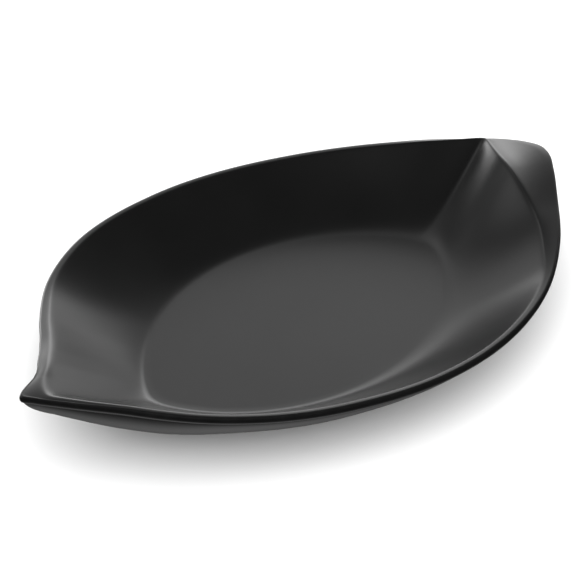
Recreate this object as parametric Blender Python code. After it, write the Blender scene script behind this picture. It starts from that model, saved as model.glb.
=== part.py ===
"""Leaf-shaped serving dish, moulded in one piece from black plastic.

A flat pointed-oval well sits on a low foot ring. The wall rises from it to a
twisted leaf outline with a turned-out lip at each pointed end. X runs along
the leaf, from the slim end to the broad end, and Z is up.
"""

import math

import bmesh
import bpy
import numpy as np

# Driving dimensions in millimetres and degrees. Angles run round the centre,
# anticlockwise from above. Those of the well and of its fillet start at +X, and
# the others start at the tip of the broad end.
WELL_HALF_LENGTH = 91.0
WELL_HALF_WIDTH = 56.0
WELL_HEIGHT = 4.5
WELL_TURN = -2.0
WELL_CORNER_SOFTNESS = 0.08

FOOT_HEIGHT = 1.2
FOOT_OVERHANG = 2.0
FOOT_RING_WIDTH = 7.0
FOOT_EDGE = 0.5
RECESS_DEPTH = 1.0

RIM_THICKNESS = 4.2
RIM_ROUNDING = 1.7
RIM_TOP_WIDTH = 3.6

TIP_ANGLE = -6.0

# Leaf outline from above, as (angle past a tip, distance from the centre).
SIDE = ((6, 146.5), (14, 132.5), (21, 124), (36, 110.5), (51, 102), (66, 97.5), (96, 99), (126, 111))
BROAD_FLANK = ((-39, 120), (-24, 131), (-11, 143), (-6, 149.5), (-2, 154.5), (0, 155), (3, 151.5))
SLIM_FLANK = ((-39, 117.5), (-24, 123), (-16, 127.5), (-9, 135), (-3, 146), (0, 158), (2, 154.5))

# Height of the rim past each tip, where it is highest.
RIM_HEIGHT = (
    (0, 38.7), (14, 37), (29, 33.3), (51, 30.2),
    (75, 29), (126, 27.9), (148, 28.5), (164, 32.5),
)

# Crest where the wall turns out into the lip. It crosses the rim away from the ends.
BROAD_RIDGE = (
    (-44, 126), (-35, 120.6), (-18, 124), (-4, 126.5),
    (2, 129.2), (6, 133.5), (9, 138.6), (14, 150),
)
SLIM_RIDGE = (
    (-44, 126), (-34, 118.5), (-23, 120.5), (-9, 131),
    (-4, 138.5), (0, 145), (4, 151), (16, 158),
)
RIDGE_BLEND = 3.0

# How far the crest stands above the lip's edge, and the angle over which it fades.
BROAD_CREST_RISE = 5.0
SLIM_CREST_RISE = 1.6
CREST_FADE = 16.0
LIP_MIDDLE = -4.0

# The lip falls away from its rounded crest over this distance, and then levels off.
LIP_FALL = 9.0
CREST_ROUNDING = 0.6
BROAD_ROUNDING = 1.2
SLIM_ROUNDING = 3.0

# Bow of the wall's outside past each tip: 1 is straight, and 2 is a quarter of an ellipse.
FULLNESS = ((-40, 1.5), (0, 1.4), (15, 1.65), (35, 1.45), (60, 1.4), (90, 1.33), (120, 1.3))
LIP_HOLLOW = 0.28

# How much steeper the wall's inside gets towards its top, and how much less so at the two ends.
STEEPENING = 0.45
END_STRAIGHTENING = 0.3

# Fillet between the well and the wall, as a share of the wall's width: mean, swing and widest angle.
FILLET_MEAN = 0.16
FILLET_SWING = 0.12
FILLET_WIDEST = -30.0

# Sections past each tip, as (first angle, end, step): closer together near the tip.
SECTION_SPANS = ((-9, -3, 1.5), (-3, 4, 1), (4, 14.5, 1.5), (16, 31, 3), (31, 168, 6))

# Rings across the wall and the lip, as shares of their widths, and counts of the others.
WALL_STEPS = (0.06, 0.13, 0.22, 0.34, 0.48, 0.62, 0.76, 0.88, 0.96)
LIP_STEPS = (0.0, 0.08, 0.25, 0.55, 1.0)
RIM_STEPS = 4
UNDER_STEPS = 9

MM = 0.001


def past_tips(broad, slim):
    """One closed table from the values past the broad tip and past the slim tip."""
    return tuple(broad) + tuple((angle + 180, value) for angle, value in slim)


def around(table, angles):
    """A smooth closed curve through the table's values, at each angle."""
    knots = np.array(sorted(table), dtype=float)
    span = np.vstack([knots - [360, 0], knots, knots + [360, 0]])
    place, value = span[:, 0], span[:, 1]
    slope = np.gradient(value, place)
    index = np.searchsorted(place, angles, side="right") - 1
    width = place[index + 1] - place[index]
    t = (angles - place[index]) / width
    rise = value[index + 1] - value[index]
    start = slope[index] * width
    end = slope[index + 1] * width
    bend = (start + end - 2 * rise) * t + 3 * rise - 2 * start - end
    return value[index] + t * (start + t * bend)


def section_angles():
    half = np.concatenate([np.arange(*span) for span in SECTION_SPANS])
    return np.concatenate([half, half + 180.0])


def well_radius(angles):
    """Distance to the edge of a pointed oval made of two arcs."""
    turn = np.radians(angles + TIP_ANGLE - WELL_TURN)
    across = WELL_HALF_WIDTH
    arc = (WELL_HALF_LENGTH**2 + across**2) / (2 * across)
    offset = arc - across
    sine = np.sqrt(np.sin(turn) ** 2 + WELL_CORNER_SOFTNESS**2)
    return np.sqrt(arc**2 - offset**2 * (1 - sine**2)) - offset * sine


def outline(angles):
    return around(past_tips(SIDE + BROAD_FLANK, SIDE + SLIM_FLANK), angles)


def rim_height(angles):
    return around(past_tips(RIM_HEIGHT, RIM_HEIGHT), angles)


def crest_radius(angles):
    """Distance to the crest: the rim's inner edge, or the ridge where that is nearer."""
    inner = outline(angles) - RIM_TOP_WIDTH
    ridge = around(past_tips(BROAD_RIDGE, SLIM_RIDGE), angles)
    return (inner + ridge - np.hypot(inner - ridge, RIDGE_BLEND)) / 2


def near_broad_tip(angles):
    """1 at the middle of the broad end's lip, fading to 0 away from it."""
    past = (angles - LIP_MIDDLE + 180) % 360 - 180
    return np.exp(-((past / CREST_FADE) ** 2))


def near_slim_tip(angles):
    return near_broad_tip(angles + 180)


def crest_rise(angles):
    return BROAD_CREST_RISE * near_broad_tip(angles) + SLIM_CREST_RISE * near_slim_tip(angles)


def crest_rounding(angles):
    return CREST_ROUNDING + BROAD_ROUNDING * near_broad_tip(angles) + SLIM_ROUNDING * near_slim_tip(angles)


def fullness(angles):
    return around(past_tips(FULLNESS, FULLNESS), angles)


def wall_height(angles, t):
    """Height of the wall at share t of its width, from the well's edge to the crest and on past it."""
    turn = np.radians(angles + TIP_ANGLE - FILLET_WIDEST)
    fillet = FILLET_MEAN + FILLET_SWING * np.cos(turn)
    steepening = STEEPENING - END_STRAIGHTENING * (near_broad_tip(angles) + near_slim_tip(angles))

    def rise(share):
        return np.sqrt(share**2 + fillet**2) - fillet + steepening * share**2

    top = rim_height(angles) + crest_rise(angles)
    return WELL_HEIGHT + (top - WELL_HEIGHT) * rise(t) / rise(1.0)


def lip_height(angles, out, width):
    """Height of the lip at a distance out from the crest: it falls away and then levels off."""
    end = np.exp(-width / LIP_FALL)
    fall = (np.exp(-np.maximum(out, -width) / LIP_FALL) - end) / (1 - end)
    return rim_height(angles) + crest_rise(angles) * fall


def upper_rings(angles):
    """(distance, height) of each ring, from the well's edge to the rim."""
    well = well_radius(angles)
    crest = crest_radius(angles)
    width = outline(angles) - RIM_ROUNDING - crest
    rounding = crest_rounding(angles)
    places = [well + t * (crest - well) for t in WALL_STEPS]
    places += [crest + t * width for t in LIP_STEPS]
    rings = [(well, np.full_like(well, WELL_HEIGHT))]
    for place in places:
        wall = wall_height(angles, (place - well) / (crest - well))
        lip = lip_height(angles, place - crest, width)
        rings.append((place, (wall + lip - np.hypot(wall - lip, rounding)) / 2))
    return rings


def rim_rings(angles):
    """The rounded outer edge, from the lip's top to its underside."""
    edge = outline(angles)
    height = rim_height(angles)
    rings = []
    for step in range(1, RIM_STEPS + 2):
        turn = math.pi * step / (RIM_STEPS + 1)
        out = edge - RIM_ROUNDING * (1 - math.sin(turn))
        rings.append((out, height - RIM_THICKNESS * (1 - math.cos(turn)) / 2))
    return rings


def lower_rings(angles):
    """The outside, curving in from the rim's lower edge to the foot and its recess."""
    foot = well_radius(angles) + FOOT_OVERHANG
    span = outline(angles) - RIM_ROUNDING - foot
    drop = rim_height(angles) - RIM_THICKNESS - FOOT_HEIGHT
    bow = fullness(angles) - LIP_HOLLOW * near_broad_tip(angles)
    rings = []
    for step in range(1, UNDER_STEPS):
        share = math.cos(math.pi / 2 * step / UNDER_STEPS)
        level = 1 - (1 - share**bow) ** (1 / bow)
        rings.append((foot + span * share, FOOT_HEIGHT + drop * level))
    inside = foot - FOOT_RING_WIDTH
    flat = np.zeros_like(foot)
    rings.append((foot, flat + FOOT_HEIGHT))
    rings.append((foot - FOOT_EDGE, flat))
    rings.append((inside + FOOT_EDGE, flat))
    rings.append((inside, flat + RECESS_DEPTH))
    return rings


def first_loop(work, spots, section):
    """A closed loop of edges through the points, each of which keeps the number of its section."""
    points = [work.verts.new(spot) for spot in spots]
    for number, point in enumerate(points):
        point[section] = number
    return [work.edges.new((points[k - 1], points[k])) for k in range(len(points))]


def next_loop(work, loop, spots, section):
    """The loop extruded, with its new points moved to the next ring."""
    made = bmesh.ops.extrude_edge_only(work, edges=loop)["geom"]
    for point in made:
        if isinstance(point, bmesh.types.BMVert):
            point.co = spots[point[section]]
    return [edge for edge in made if isinstance(edge, bmesh.types.BMEdge)]


def dish_mesh(name):
    """The rings extruded in order, from the well round the rim to the recess, with both ends filled."""
    angles = section_angles()
    turn = np.radians(angles + TIP_ANGLE)
    ways = np.column_stack([np.cos(turn), np.sin(turn)])
    rings = upper_rings(angles) + rim_rings(angles) + lower_rings(angles)
    spots = [MM * np.column_stack([ways * distance[:, None], height]) for distance, height in rings]
    work = bmesh.new()
    section = work.verts.layers.int.new("section")
    loop = first_loop(work, spots[0], section)
    bmesh.ops.contextual_create(work, geom=loop)
    for ring in spots[1:]:
        loop = next_loop(work, loop, ring, section)
    bmesh.ops.contextual_create(work, geom=loop)
    bmesh.ops.recalc_face_normals(work, faces=work.faces)
    work.verts.layers.int.remove(section)
    centre(work)
    mesh = bpy.data.meshes.new(name)
    work.to_mesh(mesh)
    work.free()
    mesh.shade_smooth()
    return mesh


def centre(work):
    """Moves the shape so that its box is centred on the origin in plan."""
    spots = np.array([vertex.co for vertex in work.verts])
    middle = (spots.min(axis=0) + spots.max(axis=0)) / 2
    bmesh.ops.translate(work, verts=work.verts, vec=(-middle[0], -middle[1], 0.0))


def satin_black():
    material = bpy.data.materials.new("satin_black_melamine")
    material.use_nodes = True
    shader = material.node_tree.nodes["Principled BSDF"]
    shader.inputs["Base Color"].default_value = (0.012, 0.012, 0.012, 1.0)
    shader.inputs["Roughness"].default_value = 0.32
    material.diffuse_color = (0.012, 0.012, 0.012, 1.0)
    return material


def clear_scene():
    for item in list(bpy.data.objects):
        bpy.data.objects.remove(item, do_unlink=True)


def main():
    clear_scene()
    dish = bpy.data.objects.new("dish", dish_mesh("dish"))
    dish.data.materials.append(satin_black())
    bpy.context.scene.collection.objects.link(dish)


main()
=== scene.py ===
"""Looks for the leaf-shaped serving dish: its smooth surface, its satin black
material, a pale floor, soft studio light and the camera.
"""

import math

import bpy
import numpy as np
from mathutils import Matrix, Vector


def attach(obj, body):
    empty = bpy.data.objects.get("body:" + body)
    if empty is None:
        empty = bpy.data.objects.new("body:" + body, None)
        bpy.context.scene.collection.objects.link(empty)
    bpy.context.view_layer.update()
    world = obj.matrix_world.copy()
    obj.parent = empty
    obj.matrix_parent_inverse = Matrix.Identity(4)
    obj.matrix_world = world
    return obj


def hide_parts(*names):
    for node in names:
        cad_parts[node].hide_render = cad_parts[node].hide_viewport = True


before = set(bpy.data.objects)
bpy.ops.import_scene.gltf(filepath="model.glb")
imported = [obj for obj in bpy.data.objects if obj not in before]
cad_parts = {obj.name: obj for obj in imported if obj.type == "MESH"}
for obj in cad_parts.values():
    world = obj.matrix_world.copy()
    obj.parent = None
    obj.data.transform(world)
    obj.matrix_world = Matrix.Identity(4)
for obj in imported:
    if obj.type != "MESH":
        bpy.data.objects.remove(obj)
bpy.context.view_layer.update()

# Dimensions of the dish, the same as in the CAD, in millimetres and degrees.
WELL_HALF_LENGTH = 91.0
WELL_HALF_WIDTH = 56.0
WELL_HEIGHT = 4.5
WELL_TURN = -2.0
WELL_CORNER_SOFTNESS = 0.08

FOOT_HEIGHT = 1.2
FOOT_OVERHANG = 2.0
FOOT_RING_WIDTH = 7.0
FOOT_EDGE = 0.5
RECESS_DEPTH = 1.0

RIM_THICKNESS = 4.2
RIM_ROUNDING = 1.7
RIM_TOP_WIDTH = 3.6

TIP_ANGLE = -6.0

# Leaf outline from above, as (angle past a tip, distance from the centre).
SIDE = ((6, 146.5), (14, 132.5), (21, 124), (36, 110.5), (51, 102), (66, 97.5), (96, 99), (126, 111))
BROAD_FLANK = ((-39, 120), (-24, 131), (-11, 143), (-6, 149.5), (-2, 154.5), (0, 155), (3, 151.5))
SLIM_FLANK = ((-39, 117.5), (-24, 123), (-16, 127.5), (-9, 135), (-3, 146), (0, 158), (2, 154.5))

# Height of the rim past each tip, where it is highest.
RIM_HEIGHT = (
    (0, 38.7), (14, 37), (29, 33.3), (51, 30.2),
    (75, 29), (126, 27.9), (148, 28.5), (164, 32.5),
)

# Crest where the wall turns out into the lip. It crosses the rim away from the ends.
BROAD_RIDGE = (
    (-44, 126), (-35, 120.6), (-18, 124), (-4, 126.5),
    (2, 129.2), (6, 133.5), (9, 138.6), (14, 150),
)
SLIM_RIDGE = (
    (-44, 126), (-34, 118.5), (-23, 120.5), (-9, 131),
    (-4, 138.5), (0, 145), (4, 151), (16, 158),
)
RIDGE_BLEND = 3.0

# How far the crest stands above the lip's edge, and the angle over which it fades.
BROAD_CREST_RISE = 5.0
SLIM_CREST_RISE = 1.6
CREST_FADE = 16.0
LIP_MIDDLE = -4.0

# The lip falls away from its rounded crest over this distance, and then levels off.
LIP_FALL = 9.0
CREST_ROUNDING = 0.6
BROAD_ROUNDING = 1.2
SLIM_ROUNDING = 3.0

# Bow of the wall's outside past each tip: 1 is straight, and 2 is a quarter of an ellipse.
FULLNESS = ((-40, 1.5), (0, 1.4), (15, 1.65), (35, 1.45), (60, 1.4), (90, 1.33), (120, 1.3))
LIP_HOLLOW = 0.28

# How much steeper the wall's inside gets towards its top, and how much less so at the two ends.
STEEPENING = 0.45
END_STRAIGHTENING = 0.3

# Fillet between the well and the wall, as a share of the wall's width: mean, swing and widest angle.
FILLET_MEAN = 0.16
FILLET_SWING = 0.12
FILLET_WIDEST = -30.0

# Sections round the dish, and how far they are drawn towards the two tips, in degrees.
SECTIONS = 360
SECTION_CROWDING = 19.8

# Rings across the well, the wall and the lip, as shares of their widths, and counts of the others.
WELL_STEPS = (0.5, 0.8, 0.95, 1.0)
WALL_STEPS = (*np.linspace(0.03, 0.9, 28), 0.93, 0.955, 0.975, 0.988, 0.996)
LIP_STEPS = (0, 0.02, 0.05, 0.1, 0.17, 0.26, 0.38, 0.52, 0.7, 0.88, 1.0)
RIM_STEPS = 7
UNDER_STEPS = 24

MM = 0.001

# Patterns in the melamine's skin, as (size in metres, detail): soft clouds in the
# pigment, orange peel, a fine grain and specks of wear.
CLOUDS = (0.03, 3.0)
PEEL = (0.0035, 1.0)
GRAIN = (0.0006, 2.0)
SPECKS = (0.004, 2.0)
PEEL_DEPTH = 0.000012
GRAIN_DEPTH = 0.0000015

# Pattern values where a speck of wear starts and where it is full.
SPECK_START = 0.45
SPECK_FULL = 0.7

# Ends between which the pigment and the roughness wander, and what wear adds to them.
PIGMENT = (0.002, 0.0034)
SATIN = (0.27, 0.33)
GRAIN_ROUGHNESS = 0.02
WORN_PALENESS = 0.008
WORN_ROUGHNESS = 0.1
RIM_WEAR = 0.12
MELAMINE_IOR = 1.5

# Soft lights that only the gloss sees, as (azimuth from straight behind the dish,
# elevation, spread, brightness). Angles are in degrees.
SOFT_LIGHTS = (
    (-8, 4, 25, 3.3),
    (14, 22, 12, 4.8),
    (-44, -1, 15, 6),
    (-34, 52, 20, 1.5),
    (-92, 25, 13, 2.4),
    (36, 8, 8, 2.9),
    (40, -89, 30, 0.8),
    (182, 42, 12, 0.4),
)

# Even light for everything but the gloss.
EVEN_LIGHT = 1.7

FLOOR_HALF = 8.0
FLOOR_GREY = 0.9
FLOOR_ROUGHNESS = 0.9

# Camera: how it looks at the dish, how far away it is and what it frames, in degrees and metres.
VIEW_TURN = 44.4
VIEW_DOWN = 37.6
VIEW_DISTANCE = 1.7
VIEW_WIDTH = 0.2754
VIEW_RIGHT = -0.0014
VIEW_RISE = 0.0132
VIEW_HEIGHT = 0.007
SENSOR_WIDTH = 36.0


def past_tips(broad, slim):
    """One closed table from the values past the broad tip and past the slim tip."""
    return tuple(broad) + tuple((angle + 180, value) for angle, value in slim)


def around(table, angles):
    """A smooth closed curve through the table's values, at each angle."""
    knots = np.array(sorted(table), dtype=float)
    span = np.vstack([knots - [360, 0], knots, knots + [360, 0]])
    place, value = span[:, 0], span[:, 1]
    slope = np.gradient(value, place)
    index = np.searchsorted(place, angles, side="right") - 1
    width = place[index + 1] - place[index]
    t = (angles - place[index]) / width
    rise = value[index + 1] - value[index]
    start = slope[index] * width
    end = slope[index + 1] * width
    bend = (start + end - 2 * rise) * t + 3 * rise - 2 * start - end
    return value[index] + t * (start + t * bend)


def section_angles():
    """Angles of the sections, closer together near the two tips."""
    share = np.arange(SECTIONS) / SECTIONS
    return 360 * share - SECTION_CROWDING * np.sin(4 * np.pi * share)


def well_radius(angles):
    """Distance to the edge of a pointed oval made of two arcs."""
    turn = np.radians(angles + TIP_ANGLE - WELL_TURN)
    across = WELL_HALF_WIDTH
    arc = (WELL_HALF_LENGTH**2 + across**2) / (2 * across)
    offset = arc - across
    sine = np.sqrt(np.sin(turn) ** 2 + WELL_CORNER_SOFTNESS**2)
    return np.sqrt(arc**2 - offset**2 * (1 - sine**2)) - offset * sine


def outline(angles):
    return around(past_tips(SIDE + BROAD_FLANK, SIDE + SLIM_FLANK), angles)


def rim_height(angles):
    return around(past_tips(RIM_HEIGHT, RIM_HEIGHT), angles)


def crest_radius(angles):
    """Distance to the crest: the rim's inner edge, or the ridge where that is nearer."""
    inner = outline(angles) - RIM_TOP_WIDTH
    ridge = around(past_tips(BROAD_RIDGE, SLIM_RIDGE), angles)
    return (inner + ridge - np.hypot(inner - ridge, RIDGE_BLEND)) / 2


def near_broad_tip(angles):
    """1 at the middle of the broad end's lip, fading to 0 away from it."""
    past = (angles - LIP_MIDDLE + 180) % 360 - 180
    return np.exp(-((past / CREST_FADE) ** 2))


def near_slim_tip(angles):
    return near_broad_tip(angles + 180)


def crest_rise(angles):
    return BROAD_CREST_RISE * near_broad_tip(angles) + SLIM_CREST_RISE * near_slim_tip(angles)


def crest_rounding(angles):
    return CREST_ROUNDING + BROAD_ROUNDING * near_broad_tip(angles) + SLIM_ROUNDING * near_slim_tip(angles)


def fullness(angles):
    return around(past_tips(FULLNESS, FULLNESS), angles)


def wall_height(angles, t):
    """Height of the wall at share t of its width, from the well's edge to the crest and on past it."""
    turn = np.radians(angles + TIP_ANGLE - FILLET_WIDEST)
    fillet = FILLET_MEAN + FILLET_SWING * np.cos(turn)
    steepening = STEEPENING - END_STRAIGHTENING * (near_broad_tip(angles) + near_slim_tip(angles))

    def rise(share):
        return np.sqrt(share**2 + fillet**2) - fillet + steepening * share**2

    top = rim_height(angles) + crest_rise(angles)
    return WELL_HEIGHT + (top - WELL_HEIGHT) * rise(t) / rise(1.0)


def lip_height(angles, out, width):
    """Height of the lip at a distance out from the crest: it falls away and then levels off."""
    end = np.exp(-width / LIP_FALL)
    fall = (np.exp(-np.maximum(out, -width) / LIP_FALL) - end) / (1 - end)
    return rim_height(angles) + crest_rise(angles) * fall


def upper_rings(angles):
    """(distance, height) of each ring, from inside the well to the rim."""
    well = well_radius(angles)
    crest = crest_radius(angles)
    width = outline(angles) - RIM_ROUNDING - crest
    rounding = crest_rounding(angles)
    places = [well + t * (crest - well) for t in WALL_STEPS]
    places += [crest + t * width for t in LIP_STEPS]
    flat = np.full_like(well, WELL_HEIGHT)
    rings = [(well * share, flat) for share in WELL_STEPS]
    for place in places:
        wall = wall_height(angles, (place - well) / (crest - well))
        lip = lip_height(angles, place - crest, width)
        rings.append((place, (wall + lip - np.hypot(wall - lip, rounding)) / 2))
    return rings


def rim_rings(angles):
    """The rounded outer edge, from the lip's top to its underside."""
    edge = outline(angles)
    height = rim_height(angles)
    rings = []
    for step in range(1, RIM_STEPS + 2):
        turn = math.pi * step / (RIM_STEPS + 1)
        out = edge - RIM_ROUNDING * (1 - math.sin(turn))
        rings.append((out, height - RIM_THICKNESS * (1 - math.cos(turn)) / 2))
    return rings


def lower_rings(angles):
    """The outside, curving in from the rim's lower edge to the foot and its recess."""
    foot = well_radius(angles) + FOOT_OVERHANG
    span = outline(angles) - RIM_ROUNDING - foot
    drop = rim_height(angles) - RIM_THICKNESS - FOOT_HEIGHT
    bow = fullness(angles) - LIP_HOLLOW * near_broad_tip(angles)
    rings = []
    for step in range(1, UNDER_STEPS):
        share = math.cos(math.pi / 2 * step / UNDER_STEPS)
        level = 1 - (1 - share**bow) ** (1 / bow)
        rings.append((foot + span * share, FOOT_HEIGHT + drop * level))
    inside = foot - FOOT_RING_WIDTH
    flat = np.zeros_like(foot)
    rings.append((foot, flat + FOOT_HEIGHT))
    rings.append((foot - FOOT_EDGE, flat))
    rings.append((inside + FOOT_EDGE, flat))
    rings.append((inside, flat + RECESS_DEPTH))
    return rings


def dish_mesh(name):
    """One closed surface: the rings joined in order, with a centre at each end."""
    angles = section_angles()
    upper = upper_rings(angles)
    rings = upper + rim_rings(angles) + lower_rings(angles)
    turn = np.radians(angles + TIP_ANGLE)
    ways = np.column_stack([np.cos(turn), np.sin(turn)])
    points = [np.array([[0.0, 0.0, WELL_HEIGHT]])]
    for distance, height in rings:
        points.append(np.column_stack([ways * distance[:, None], height]))
    points.append(np.array([[0.0, 0.0, RECESS_DEPTH]]))
    spots = np.concatenate(points) * MM
    spots[:, :2] -= (spots[:, :2].min(axis=0) + spots[:, :2].max(axis=0)) / 2
    count = len(angles)
    last = len(spots) - 1
    faces = []
    for k in range(count):
        after = (k + 1) % count
        faces.append((0, 1 + k, 1 + after))
        for ring in range(len(rings) - 1):
            low = 1 + ring * count
            high = low + count
            faces.append((low + k, high + k, high + after, low + after))
        start = last - count
        faces.append((last, start + after, start + k))
    mesh = bpy.data.meshes.new(name)
    mesh.from_pydata(spots.tolist(), [], faces)
    mesh.shade_smooth()
    mark_touched(mesh, count, len(upper), len(rings))
    return mesh


def mark_touched(mesh, count, rim, total):
    """How much each point gets rubbed: a little on the rim's outer edge, and fully under the foot ring."""
    touched = np.zeros(len(mesh.vertices))
    touched[1 + rim * count:1 + (rim + RIM_STEPS) * count] = RIM_WEAR
    touched[1 + (total - 3) * count:1 + (total - 1) * count] = 1.0
    mesh.attributes.new("touched", "FLOAT", "POINT").data.foreach_set("value", touched)


def satin_black():
    """Moulded melamine: deep black and satin, with faint orange peel and light wear where it is rubbed."""
    material = bpy.data.materials.new("satin_black_melamine")
    material.use_nodes = True
    nodes, links = material.node_tree.nodes, material.node_tree.links
    shader = nodes["Principled BSDF"]
    shader.inputs["IOR"].default_value = MELAMINE_IOR
    place = nodes.new("ShaderNodeTexCoord").outputs["Object"]
    clouds = noise(nodes, links, place, *CLOUDS)
    grain = noise(nodes, links, place, *GRAIN)
    peel = noise(nodes, links, place, *PEEL)
    specks = noise(nodes, links, place, *SPECKS)
    wear = worn(nodes, links, specks)

    pigment = spread(nodes, links, clouds, *PIGMENT)
    shade = sum_of(nodes, links, pigment, spread(nodes, links, wear, 0.0, WORN_PALENESS))
    colour = nodes.new("ShaderNodeCombineColor")
    for channel in colour.inputs:
        links.new(shade, channel)
    links.new(colour.outputs["Color"], shader.inputs["Base Color"])

    satin = spread(nodes, links, clouds, *SATIN)
    grainy = spread(nodes, links, grain, -GRAIN_ROUGHNESS, GRAIN_ROUGHNESS)
    scuffed = spread(nodes, links, wear, 0.0, WORN_ROUGHNESS)
    rough = sum_of(nodes, links, sum_of(nodes, links, satin, grainy), scuffed)
    links.new(rough, shader.inputs["Roughness"])

    skin = bump(nodes, links, peel, PEEL_DEPTH)
    finest = bump(nodes, links, grain, GRAIN_DEPTH, skin)
    links.new(finest, shader.inputs["Normal"])
    return material


def noise(nodes, links, place, size, detail):
    """Smooth random values from 0 to 1 that change over a size in metres."""
    made = nodes.new("ShaderNodeTexNoise")
    made.inputs["Scale"].default_value = 1 / size
    made.inputs["Detail"].default_value = detail
    links.new(place, made.inputs["Vector"])
    return made.outputs["Fac"]


def spread(nodes, links, value, low, high):
    """The values spread between a low and a high end."""
    made = nodes.new("ShaderNodeMapRange")
    made.inputs["To Min"].default_value = low
    made.inputs["To Max"].default_value = high
    links.new(value, made.inputs["Value"])
    return made.outputs["Result"]


def sum_of(nodes, links, one, other):
    made = nodes.new("ShaderNodeMath")
    links.new(one, made.inputs[0])
    links.new(other, made.inputs[1])
    return made.outputs[0]


def worn(nodes, links, specks):
    """Wear from 0 to 1: in specks along the rim's edge and the foot ring."""
    touched = nodes.new("ShaderNodeAttribute")
    touched.attribute_name = "touched"
    limit = nodes.new("ShaderNodeMapRange")
    limit.interpolation_type = "SMOOTHSTEP"
    limit.inputs["From Min"].default_value = SPECK_START
    limit.inputs["From Max"].default_value = SPECK_FULL
    links.new(specks, limit.inputs["Value"])
    made = nodes.new("ShaderNodeMath")
    made.operation = "MULTIPLY"
    links.new(limit.outputs["Result"], made.inputs[0])
    links.new(touched.outputs["Fac"], made.inputs[1])
    return made.outputs[0]


def bump(nodes, links, height, depth, under=None):
    made = nodes.new("ShaderNodeBump")
    made.inputs["Distance"].default_value = depth
    links.new(height, made.inputs["Height"])
    if under is not None:
        links.new(under, made.inputs["Normal"])
    return made.outputs["Normal"]


def make_dish():
    dish = bpy.data.objects.new("dish_surface", dish_mesh("dish_surface"))
    bpy.context.scene.collection.objects.link(dish)
    dish.data.materials.append(satin_black())
    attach(dish, "root")
    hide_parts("dish")
    return dish


def make_floor():
    half = FLOOR_HALF
    mesh = bpy.data.meshes.new("floor")
    corners = [(-half, -half, 0), (half, -half, 0), (half, half, 0), (-half, half, 0)]
    mesh.from_pydata(corners, [], [(0, 1, 2, 3)])
    material = bpy.data.materials.new("pale_floor")
    material.use_nodes = True
    shader = material.node_tree.nodes["Principled BSDF"]
    shader.inputs["Base Color"].default_value = (FLOOR_GREY, FLOOR_GREY, FLOOR_GREY, 1.0)
    shader.inputs["Roughness"].default_value = FLOOR_ROUGHNESS
    mesh.materials.append(material)
    floor = bpy.data.objects.new("floor", mesh)
    bpy.context.scene.collection.objects.link(floor)
    floor.visible_glossy = False


def way(azimuth, elevation):
    """Unit vector towards a light: azimuth 0 is straight behind the dish, seen from the camera."""
    turn = math.radians(VIEW_TURN + azimuth)
    rise = math.radians(elevation)
    return Vector((math.sin(turn) * math.cos(rise), math.cos(turn) * math.cos(rise), math.sin(rise)))


def soft_spot(nodes, links, direction, azimuth, elevation, spread, brightness):
    """Brightness of one soft round light, seen along a direction."""
    facing = nodes.new("ShaderNodeVectorMath")
    facing.operation = "DOT_PRODUCT"
    facing.inputs[1].default_value = way(azimuth, elevation)
    links.new(direction, facing.inputs[0])
    sharpness = 1 / (1 - math.cos(math.radians(spread)))
    fade = nodes.new("ShaderNodeMath")
    fade.operation = "MULTIPLY_ADD"
    fade.inputs[1].default_value = sharpness
    fade.inputs[2].default_value = math.log(brightness) - sharpness
    links.new(facing.outputs["Value"], fade.inputs[0])
    glow = nodes.new("ShaderNodeMath")
    glow.operation = "EXPONENT"
    links.new(fade.outputs[0], glow.inputs[0])
    return glow.outputs[0]


def make_light():
    """An even white light all round, in which the gloss shows soft lights with dark between them."""
    world = bpy.data.worlds.new("studio")
    world.use_nodes = True
    nodes, links = world.node_tree.nodes, world.node_tree.links
    even = nodes["Background"]
    even.inputs["Color"].default_value = (1.0, 1.0, 1.0, 1.0)
    even.inputs["Strength"].default_value = EVEN_LIGHT
    direction = nodes.new("ShaderNodeTexCoord").outputs["Generated"]
    total = None
    for spot in SOFT_LIGHTS:
        glow = soft_spot(nodes, links, direction, *spot)
        if total is None:
            total = glow
            continue
        both = nodes.new("ShaderNodeMath")
        links.new(total, both.inputs[0])
        links.new(glow, both.inputs[1])
        total = both.outputs[0]
    lights = nodes.new("ShaderNodeBackground")
    links.new(total, lights.inputs["Strength"])
    choice = nodes.new("ShaderNodeMixShader")
    links.new(nodes.new("ShaderNodeLightPath").outputs["Is Glossy Ray"], choice.inputs[0])
    links.new(even.outputs[0], choice.inputs[1])
    links.new(lights.outputs[0], choice.inputs[2])
    links.new(choice.outputs[0], nodes["World Output"].inputs["Surface"])
    bpy.context.scene.world = world
    bpy.context.scene.view_settings.view_transform = "Standard"


def make_camera():
    turn, down = math.radians(VIEW_TURN), math.radians(VIEW_DOWN)
    ahead = Vector((math.sin(turn) * math.cos(down), math.cos(turn) * math.cos(down), -math.sin(down)))
    right = Vector((math.cos(turn), -math.sin(turn), 0.0))
    up = right.cross(ahead)
    aim = Vector((0.0, 0.0, VIEW_HEIGHT)) + right * VIEW_RIGHT + up * VIEW_RISE
    data = bpy.data.cameras.new("camera")
    data.sensor_width = SENSOR_WIDTH
    data.lens = SENSOR_WIDTH * VIEW_DISTANCE / VIEW_WIDTH
    camera = bpy.data.objects.new("camera", data)
    camera.location = aim - ahead * VIEW_DISTANCE
    camera.rotation_euler = (-ahead).to_track_quat("Z", "Y").to_euler()
    bpy.context.scene.collection.objects.link(camera)
    bpy.context.scene.camera = camera


make_dish()
make_floor()
make_light()
make_camera()
